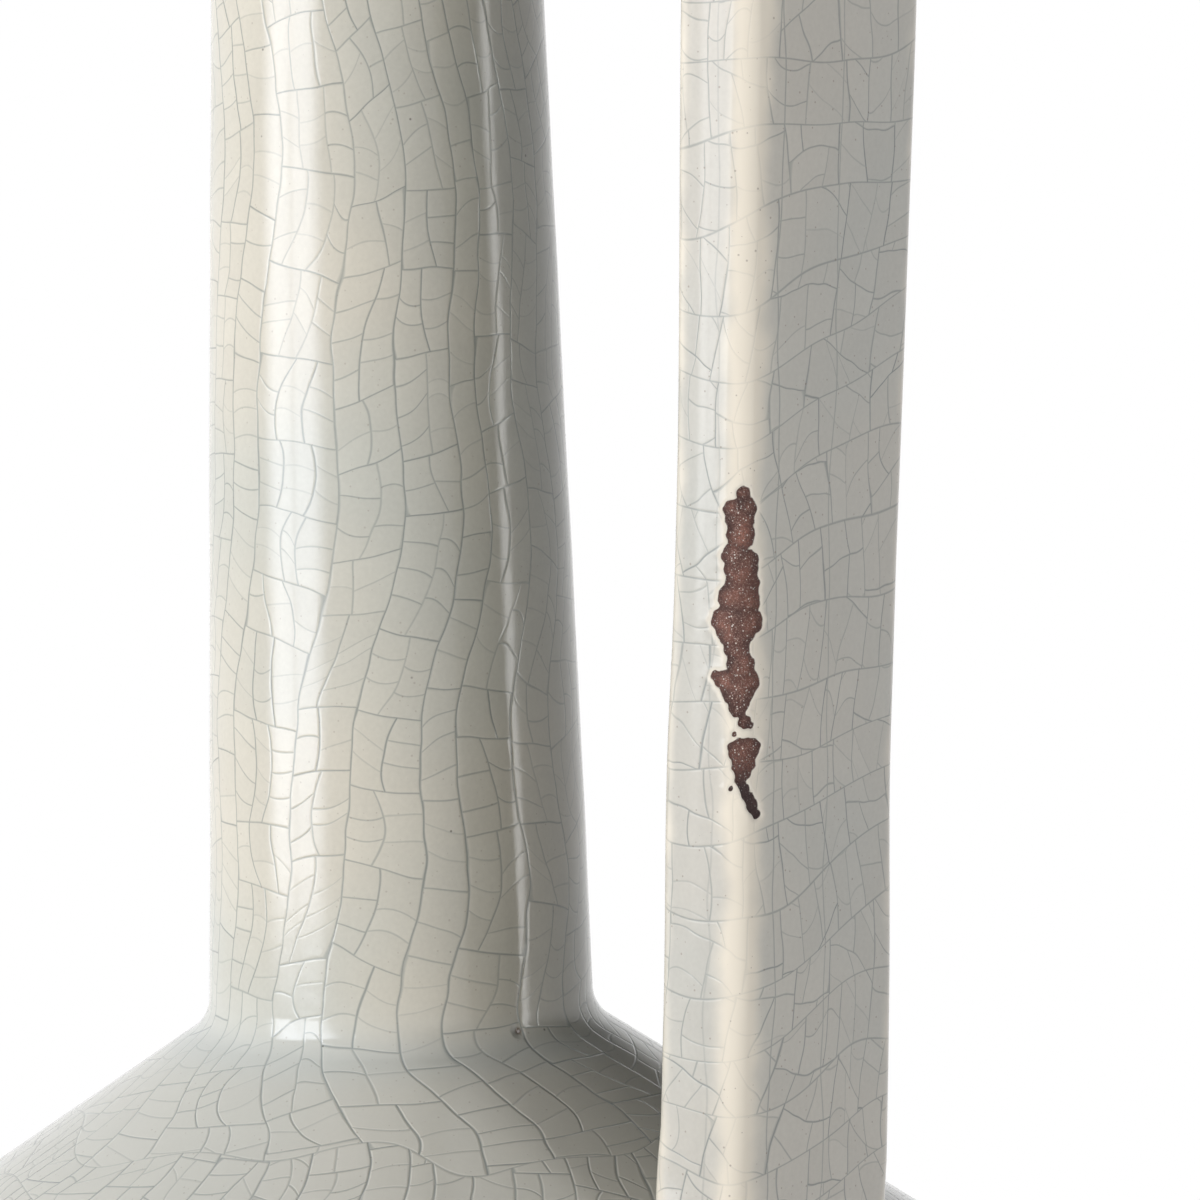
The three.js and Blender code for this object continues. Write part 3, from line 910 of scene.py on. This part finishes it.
# %% Bare patch
# Across the corner, height and radius of each disc, in mm
discs = np.array([
    (0.4, 190.5, 0.75), (-0.7, 188.9, 0.95), (0.9, 189.0, 0.95), (0.1, 187.9, 1.5), (0.2, 186.2, 1.5),
    (-0.6, 184.2, 1.2), (1.0, 183.6, 1.15), (0.2, 182.6, 1.7), (0.7, 181.2, 1.55), (-0.5, 180.0, 1.6),
    (0.8, 179.4, 1.5), (-1.2, 177.6, 1.55), (1.1, 177.4, 1.5), (-0.2, 176.4, 1.9), (-0.2, 174.6, 1.25),
    (0.3, 172.9, 1.5), (-1.3, 171.4, 1.05), (-2.3, 172.0, 0.42), (1.1, 171.2, 1.2), (0.0, 170.2, 1.6),
    (0.1, 168.9, 0.95), (-0.2, 168.2, 0.5), (0.7, 167.2, 0.66), (1.4, 166.8, 0.3), (-0.3, 166.0, 0.24),
    (-0.1, 164.4, 0.95), (1.5, 164.5, 1.0), (0.7, 164.2, 1.2), (0.7, 163.0, 1.3), (0.6, 161.9, 0.8),
    (0.4, 161.1, 0.5), (0.8, 160.2, 0.55), (1.3, 159.3, 0.62), (1.7, 158.4, 0.6), (2.1, 157.5, 0.46),
    (-0.6, 160.4, 0.27),
])
patch_bottom, patch_top, patch_reach = 150, 198, 7.0
far_away = 10.0
drop_depth, bead_height = 0.2, 0.05


def patch_distance(across, height):
    """Distance to the ragged outline: the least distance to any disc, less than 0 inside one, with a
    small ripple added so that the edge isn't made of plain circles."""
    ripple = 0.05 * np.sin(5.3 * height + 2.1 * across) + 0.04 * np.sin(7.1 * across - 3.7 * height)
    gaps = np.hypot(across[..., None] - discs[:, 0], height[..., None] - discs[:, 1]) - discs[:, 2]
    softness = 0.2
    return -softness * np.log(np.sum(np.exp(-np.minimum(gaps, 12.0) / softness), axis=-1)) + ripple


patch_rows = (strap_points[:, 0, 2] > patch_bottom) & (strap_points[:, 0, 2] < patch_top)
patch_x, patch_y, patch_height = np.moveaxis(strap_points[patch_rows], -1, 0)
width, thickness = strap_size(patch_height[:, :1])
corner_inset = corner_radius * (1 - math.sqrt(0.5))
ridge_x = strap_middle(patch_height[:, :1]) + thickness / 2 - corner_inset
ridge_y = -width / 2 + corner_inset
patch_across = (patch_x - ridge_x + patch_y - ridge_y) / math.sqrt(2)
near_ridge = np.abs(off_ridge) < patch_reach
distance = np.where(near_ridge, patch_distance(patch_across, patch_height), far_away)
drop = drop_depth * np.clip((0.05 - distance) / 0.3, 0, 1) ** 0.7
bead = bead_height * np.exp(-((distance - 0.3) / 0.3) ** 2)
strap_points[patch_rows] += (bead - drop)[..., None] * strap_normals[patch_rows]
strap_patch = np.zeros(strap_along.shape)
strap_patch[patch_rows] = np.clip(2.0 - distance, 0, 4)
print("patch rows:", int(patch_rows.sum()))

# %% Handle coat
strap_ring_length = 7.0
ring_bow = 3.5
corner_middles = [np.argmax(normal_out * o + normal_across * a) for o, a in ((1, 1), (-1, 1), (-1, -1))]
from_corner = np.min([np.abs(round_strap[:-1] - round_strap[m]) for m in corner_middles], axis=0)
corner_thin = 0.6 * bump_at(from_corner, 0.0, 2.3) + bump_at(off_ridge, 0.8, 3.4)
turn_places = round_strap / girth
wide_along = np.concatenate([strap_along, strap_along[:, :1]], axis=1)
face_middle = turn_places[np.argmin(np.abs(core_across) + 2 * (normal_out < 0.9))]
ridge_place = turn_places[ridge_middle]
to_face = np.sign(face_middle - ridge_place) / girth
# Turn and strength of the long cracks that run up the strap: beside the ridge and down the face
strap_cracks = [
    (float(ridge_place + 5.4 * to_face), 0.65), (float(ridge_place - 3.2 * to_face), 0.3),
    (float(face_middle), 0.55),
]
strap_ring = (wide_along - ring_bow * np.sin(2 * np.pi * (turn_places - face_middle))) / strap_ring_length
handle_coat = grid_piece(
    "handle_coat", strap_points, False, caps=strap_ends, corner=stacked(turn_places, wide_along, strap_ring),
    thin=corner_thin * (1 - strap_root), pool=3.2 * strap_root * (1 - strap_root), patch=strap_patch,
)
light_only("handle_panel", [handle_coat])
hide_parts("handle_glaze")

# %% [markdown]
# ## Crackle
#
# A glaze that shrinks more than its clay cracks while it cools. The first cracks are long and wander up
# the pot. Later ones run from one old crack to the next and stop there, so they meet it like the bar of
# a T. The network is made the same way, in four rounds. Each round cuts every cell of the round before
# with cracks in a direction of the cell's own, and keeps the distance to the nearest crack in mm.

# %% Cutting a cell


def fraction_of(number, factor):
    """A second random number from a first one."""
    return (number * factor).fraction()


def centred(number, spread):
    """A random number between -spread / 2 and spread / 2."""
    return (number - 0.5) * spread


def cuts(steps, shift, freedom, wrap=None, parts=None):
    """Cracks across a run of equal steps, one in the middle of each step and then moved by a random
    number times the freedom. Where wrap is given the run closes after that many steps. Where parts is
    given the run has that many parts, and its two ends are cracks that stay. Gives the distance to the
    nearest crack and the size of the cell, both in steps, the place in the cell from 0 to 1, and the
    cell's own random number."""
    recipe = steps.recipe
    if parts is not None:
        steps = steps.times_plus(parts, -0.5)
    whole = steps.floor()
    part = steps - whole
    places, numbers = [], []
    for step in (-1.0, 0.0, 1.0):
        index = whole + step
        if wrap is not None:
            index = index.wrapped(wrap)
        seed = {"W": index + shift}
        number = recipe.value("TexWhiteNoise", seed, "Value", noise_dimensions="1D")
        moved = centred(number, freedom)
        if parts is not None:
            moved = moved * ((index > -0.5) * (index < parts - 1.5))
        places.append(moved + (step + 0.5))
        numbers.append(number)
    later = part > places[1]
    left = recipe.choose(later, places[0], places[1])
    beyond = recipe.choose(later, places[1], places[2])
    number = recipe.choose(later, numbers[0], numbers[1])
    size = beyond - left
    from_left = part - left
    return from_left.least(beyond - part), size, from_left / size, number


def bent(place, other, number, lean, bow):
    """A place from 0 to 1 in a cell, pushed sideways the more the nearer it is to the middle: by a lean
    that grows with the other coordinate and a bow that grows with its square."""
    off = other - 0.5
    leaned = off * centred(number, lean)
    bowed = (off * off).times_plus(4.0, -0.4) * centred(fraction_of(number, 7.7), bow)
    middle = place * (1.0 - place) * 4.0
    return (leaned + bowed).times_plus(middle, place)


def crack_marks(distance, strength):
    """The dark line of a crack and the relief round it, from the distance to the crack in mm."""
    groove = distance.ease(0.0, 0.26, 1.0, 0.0) * strength
    return distance.ease(0.02, 0.15, 1.0, 0.0) * strength, 1.0 - groove


def with_crack(line_mask, relief, distance, strength):
    """Lines and relief of a network with one more crack."""
    line, higher = crack_marks(distance, strength)
    return line_mask.most(line), relief.least(higher)


# %% Crackle nodes
crackle_inputs = ("Turn", "Along", "Girth", "Girth Here", "Seed", "Cell Size", "Ring Crack", "Ring Strength")
crackle_outputs = ("Line", "Relief", "Cell")
tube_radius = 20.0
sway_size = 22.0
# Mean sizes of the cells in mm: long columns, blocks between rungs, and what uprights and cross cuts leave
column_size, block_size, upright_size, cross_size = 5.9, 9.0, 3.0, 3.1


def crackle_group():
    """The network as a node group: turn round the piece, length along it, girth of the ring and at the
    point itself, seed, size of the cells and distance to the ring's own crack go in; line, relief and a
    number for each cell come out."""
    tree = bpy.data.node_groups.new("crackle", "ShaderNodeTree")
    for name in crackle_inputs:
        tree.interface.new_socket(name=name, in_out="INPUT", socket_type="NodeSocketFloat")
    for name in crackle_outputs:
        tree.interface.new_socket(name=name, in_out="OUTPUT", socket_type="NodeSocketFloat")
    recipe = Recipe(tree)
    turn, along, whole_girth, girth_here, seed, cell_size, ring_crack, ring_strength = recipe.values(
        "NodeGroupInput", crackle_inputs)

    # Noise on a tube, so that it closes round the piece. It changes slowly round it and faster along it:
    # cracks then sway, and their distances stay nearly the same.
    angle = turn * (2 * math.pi)
    tube = recipe.value("CombineXYZ", {
        0: angle.cosine() * tube_radius, 1: angle.sine() * tube_radius, 2: along,
    })
    reach = 2.0
    sways = []
    for step in (-reach, reach):
        near = tube.vector("ADD", (0, 0, step)).vector("MULTIPLY", (1 / 52, 1 / 52, 1 / 34))
        sways.append(centred(near.noise(1.0, 0.0), sway_size))
    slope = (sways[1] - sways[0]) * (0.5 / reach)
    sway = (sways[0] + sways[1]) * 0.5
    quick = tube.noise(1 / 6.5, 1.0, "Color").vector("SUBTRACT", (0.5, 0.5, 0.5)).scaled(1.2).split()
    tip = tube.vector("MULTIPLY", (1 / 24, 1 / 24, 1 / 70)).noise(1.0, 0.0)

    # First round: a whole number of long cracks round the ring, each at its own random place. Factors such
    # as 57.31 here, or 517 below, only set the random numbers of one ring, column or block apart.
    count = (whole_girth / (cell_size * column_size)).round()
    spacing = whole_girth / count
    strayed = (sway + quick[0]) / whole_girth
    seed = seed * 57.31
    nearest, size, across, column = cuts((turn + strayed) * count, seed, 0.55, wrap=count)
    long_crack = nearest * (girth_here / count)
    column_width = size * spacing

    # Second round: rungs from one long crack to the next, square to them
    rung_step = cell_size * block_size
    off_middle = (across - 0.5) * column_width
    level = along + (quick[1] + centred(tip, 9.0))
    lean = centred(fraction_of(column, 9.1), 0.9) - slope
    steps = column.times_plus(0.6, lean.times_plus(off_middle, level) / rung_step)
    nearest, size, up_block, block = cuts(steps, column.times_plus(517.0, seed), 0.6)
    rung = nearest * rung_step
    block_height = size * rung_step

    # Third and fourth rounds: uprights inside each block, and then short rungs between those
    uprights = (column_width / (cell_size * upright_size)).round()
    shift = block.times_plus(311.0, column * 71.0)
    place = bent(across, up_block, block, 0.8, 0.35)
    nearest, _, in_half, half = cuts(place, shift, 0.5, parts=uprights)
    upright = nearest * (column_width / uprights * (girth_here / whole_girth))
    rungs = (block_height / (cell_size * cross_size)).round()
    shift = block.times_plus(41.0, (half < 0.6) * (half * 223.0))
    place = bent(up_block, in_half, half, 0.5, 0.12)
    nearest, _, _, cell = cuts(place, shift, 0.5, parts=rungs)
    cross = nearest * (block_height / rungs)

    line_mask, relief = crack_marks(ring_crack, ring_strength)
    for distance, strength in (
        (long_crack, fraction_of(column, 5.9).times_plus(0.45, 0.55)),
        (rung, fraction_of(block, 3.1).times_plus(0.45, 0.5)),
        (upright, fraction_of(block, 4.7).times_plus(0.55, 0.4)),
        (cross, fraction_of(half, 6.3).times_plus(0.45, 0.25)),
    ):
        line_mask, relief = with_crack(line_mask, relief, distance, strength)
    recipe.node("NodeGroupOutput", zip(crackle_outputs, (line_mask, relief, cell)))
    return tree


crackle = crackle_group()
print("crackle nodes:", len(crackle.nodes))

# %% [markdown]
# ## Celadon
#
# The glaze is a glassy coat, milky and grey-green where it is thick. Below the neck's foot it is painted
# paler: partly for thicker, milkier glaze and partly as painted light on the upward-facing shoulder. On
# corners, at the lip and round the bare patch it runs thin and turns cream. In the hollow under the neck it
# pools and goes bluish. Each crack is a fine blue-grey line with a shallow groove. The handle has a few
# long cracks more, which run up the strap. Iron in the clay leaves tiny brown specks, and one pinhole at the
# foot of the neck has filled with brown. All of that is mixed into one colour, one roughness and one bump
# for a single shader.

# %% Crackle on a piece


def girth_curve(number, radii):
    """Girth of a ring from its number, read off a curve with one point for each ring."""
    largest, last = float(max(radii)), len(radii) - 1
    made = number.recipe.node("FloatCurve", {"Value": number / float(last)})
    curve = made.mapping.curves[0]
    curve.points[0].location = (0, radii[0] / largest)
    curve.points[1].location = (1, radii[-1] / largest)
    for i, radius in enumerate(radii[1:-1], 1):
        curve.points.new(i / last, radius / largest)
    for point in curve.points:
        point.handle_type = "VECTOR"
    made.mapping.update()
    return Value(number.recipe, made.outputs[0]) * (2 * math.pi * largest)


def crackled(place, ring_sizes, ring_size, last_ring, stray, cell_size, ring_strength, long_cracks=()):
    """Line, relief and cell number of the crackle at a place. Ring_sizes is the girth of every ring, or a
    list of their radii. Stray is how far a ring's edge wanders, in mm. Each long crack is a turn and a
    strength."""
    recipe = place.recipe
    turn, along, ring = recipe.field("crackle_place", "Vector").split()
    ring = (ring + centred(place.noise(1 / 20, 0.0), stray / ring_size)).least(last_ring)
    number = ring.round()
    if isinstance(ring_sizes, float):
        whole_girth, girth_here = ring_sizes, ring_sizes
    else:
        whole_girth = girth_curve(number, ring_sizes)
        girth_here = place.vector("MULTIPLY", (1, 1, 0)).vector("LENGTH", key="Value") * (2 * math.pi)
    ring_crack = (0.5 - abs(ring - number)) * ring_size
    given = (turn, along, whole_girth, girth_here, number, cell_size, ring_crack, ring_strength)
    line_mask, relief, cell = recipe.values(
        "Group", crackle_outputs, zip(crackle_inputs, given), node_tree=crackle)
    for i, (crack_turn, strength) in enumerate(long_cracks):
        swerve = centred(place.vector("ADD", (60.0 * i, 0, 0)).noise(1 / 14, 1.0), 2.6)
        off = abs((turn - crack_turn) * whole_girth + swerve)
        line_mask, relief = with_crack(line_mask, relief, off, strength)
    return line_mask, relief, cell


# %% Clay, patch and pinhole
pit_place = (21.7, -4.35, 130.7)


def specks(place, spacing, radius, share):
    """1 inside small round specks: cells of a 3-D Voronoi pattern whose middle lies near the surface."""
    inputs = {"Vector": place, "Scale": 1 / spacing}
    distance, colour = place.recipe.values("TexVoronoi", ("Distance", "Color"), inputs)
    number = place.recipe.value("SeparateColor", {0: colour})
    limit = fraction_of(number, 17.0) * (radius / spacing)
    return (number < share) * (distance - limit).ease(-0.02, 0.02, 1.0, 0.0)


def clay_colour(place):
    """Dark iron-rich stoneware: brown, redder in places, with pale mineral grains."""
    mix = place.recipe.mix
    cloud = place.noise(1 / 2.2, 3.0).ease(0.36, 0.66)
    colour = mix(cloud, (0.090, 0.041, 0.035, 1), (0.300, 0.128, 0.096, 1))
    colour = mix(place.noise(1 / 0.22).ease(0.25, 0.75), colour, (0.150, 0.078, 0.063, 1))
    dust = place.noise(1 / 0.15, 1.0).ease(0.55, 0.68, 0.0, 0.8)
    colour = mix(dust, colour, (0.40, 0.27, 0.23, 1))
    return mix(specks(place, 0.24, 0.09, 0.7), colour, (0.72, 0.67, 0.63, 1))


def with_pit(place, colour, height):
    """Colour and height with the pinhole."""
    off = place.vector("DISTANCE", pit_place, key="Value")
    colour = place.recipe.mix(off.ease(0.2, 0.62, 0.9, 0.0), colour, (0.13, 0.075, 0.045, 1))
    return colour, height - off.ease(0.2, 1.1, 0.25, 0.0)


def with_patch(place, level, colour, height, rough):
    """Colour, height and roughness with the bare patch: cream glaze round it, and clay inside that is
    darker along the edge and in the tail."""
    recipe = place.recipe
    edge = recipe.field("patch") + centred(place.noise(1 / 0.45), 0.08)
    inside = edge.ease(1.97, 2.05)
    colour = recipe.mix(edge.ease(1.45, 1.95), colour, (0.80, 0.745, 0.655, 1))
    dark = edge.ease(2.0, 3.0, 0.6, 0.0).most(level.ease(160.0, 166.0, 0.85, 0.0))
    clay = recipe.mix(dark, clay_colour(place), (0.020, 0.014, 0.016, 1))
    grit = place.noise(1 / 0.3, 3.0) * 0.22
    colour = recipe.mix(inside, colour, clay)
    return colour, recipe.choose(inside, height, grit), recipe.choose(inside, rough, 0.8)


def surface(recipe, colour, rough, height, **more):
    """One shader from a colour, a roughness and a height in mm."""
    bump = recipe.value("Bump", {"Strength": 1.0, "Distance": MM, "Height": height})
    inputs = {"Base Color": colour, "Roughness": rough, "Normal": bump, **more}
    recipe.node("OutputMaterial", {"Surface": recipe.value("BsdfPrincipled", inputs)})


# %% Celadon nodes


def celadon(name, tones, freckle, depths, bare, **cracks):
    """The glaze's material: its cool and warm tone, how strong the small freckles are, the depth of the
    cracks below and above the neck's foot, whether it has the bare patch, and its crackle."""
    material = bpy.data.materials.new(name)
    recipe = recipe_for(material)
    place = recipe.place()
    level = place.split()[2]
    line_mask, relief, cell = crackled(place, **cracks)

    mottle = place.noise(1 / 0.5)
    tone = cell.times_plus(0.06, mottle.times_plus(0.12, 0.91))
    grey = recipe.value("CombineColor", {0: tone, 1: tone, 2: tone})
    colour = recipe.mix(place.noise(1 / 45).ease(0.36, 0.64), *tones)
    colour = recipe.mix(1.0, colour, grey, "MULTIPLY")
    if not bare:
        # Below the neck's foot the glaze is painted paler: partly thicker, milkier glaze, partly painted
        # light on the upward-facing shoulder.
        thick_glaze_and_painted_light = level.ease(neck_seam - 6.0, neck_seam + 8.0, 0.6, 0.0)
        colour = recipe.mix(thick_glaze_and_painted_light, colour, (0.655, 0.652, 0.605, 1))
    colour = recipe.mix(recipe.field("pool") * 0.5, colour, (0.585, 0.620, 0.610, 1))
    thin = (recipe.field("thin") + centred(place.noise(1 / 7), 0.7)).ease(0.22, 0.85)
    colour = recipe.mix(thin, colour, (0.86, 0.795, 0.685, 1))
    shown = line_mask * thin.times_plus(-0.7, 0.9)
    colour = recipe.mix(shown, colour, recipe.mix(1.0, colour, (0.40, 0.45, 0.48, 1), "MULTIPLY"))
    colour = recipe.mix(specks(place, 0.8, 0.125, 0.8) * freckle, colour, (0.20, 0.13, 0.09, 1))
    colour = recipe.mix(specks(place, 3.6, 0.20, 0.3) * 0.7, colour, (0.06, 0.045, 0.04, 1))

    depth = level.ease(neck_seam - 4.0, neck_seam + 4.0, *depths)
    height = relief.times_plus(depth, place.noise(1 / 3.0) * 0.02)
    rough = line_mask.times_plus(0.12, mottle.times_plus(0.05, 0.06))
    if bare:
        colour, height, rough = with_patch(place, level, colour, height, rough)
    else:
        colour, height = with_pit(place, colour, height)
    surface(recipe, colour, rough, height, IOR=1.52)
    print(name, "nodes:", len(recipe.tree.nodes))
    return material


vessel_glaze = celadon(
    "celadon_on_vessel", [(0.542, 0.548, 0.500, 1), (0.630, 0.598, 0.518, 1)], 0.26, (0.065, 0.02), False,
    ring_sizes=[float(r) for r in ring_radius], ring_size=ring_length, last_ring=float(ring_count),
    stray=18.0, cell_size=1.0, ring_strength=0.5,
)
handle_finish = celadon(
    "celadon_on_handle", [(0.545, 0.546, 0.512, 1), (0.592, 0.567, 0.516, 1)], 0.42, (0.016, 0.016), True,
    ring_sizes=float(girth), ring_size=strap_ring_length, last_ring=1000.0,
    stray=10.0, cell_size=1.4, ring_strength=0.65, long_cracks=strap_cracks,
)
for piece in coats + [liner]:
    piece.data.materials.append(vessel_glaze)
handle_coat.data.materials.append(handle_finish)

# %% [markdown]
# ## Clay and slip
#
# The bare clay is the same dark stoneware that shows through the patch. Slip is the same clay let down
# with water, so it dries finer and a little paler. Both are dull and slightly gritty. The CAD's clay pieces
# inside the coats keep their shapes and get these materials too.

# %% Clay and slip nodes


def matt_clay(name, paler, grain_size, grain_depth):
    """Bare fired clay: mottled colour, dull, with a gritty bump."""
    material = bpy.data.materials.new(name)
    recipe = recipe_for(material)
    place = recipe.place()
    colour = recipe.mix(paler, clay_colour(place), (0.23, 0.15, 0.12, 1))
    grit = place.noise(1 / grain_size, 3.0)
    surface(recipe, colour, grit.times_plus(0.2, 0.72), grit * grain_depth)
    print(name, "nodes:", len(recipe.tree.nodes))
    return material


stoneware = matt_clay("stoneware_bare", 0.12, 0.35, 0.2)
slip = matt_clay("slip_dried", 0.5, 0.2, 0.1)
for piece in (foot_piece, bowl_piece, strap_clay):
    piece.data.materials.append(stoneware)
slip_piece.data.materials.append(slip)
for node in ("shoulder", "neck", "neck_base_coil"):
    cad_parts[node].material_slots[0].material = stoneware
for node in ("belly_slip_seam", "neck_slip_seam", "lower_handle_slip_seam", "upper_handle_slip_seam"):
    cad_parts[node].material_slots[0].material = slip
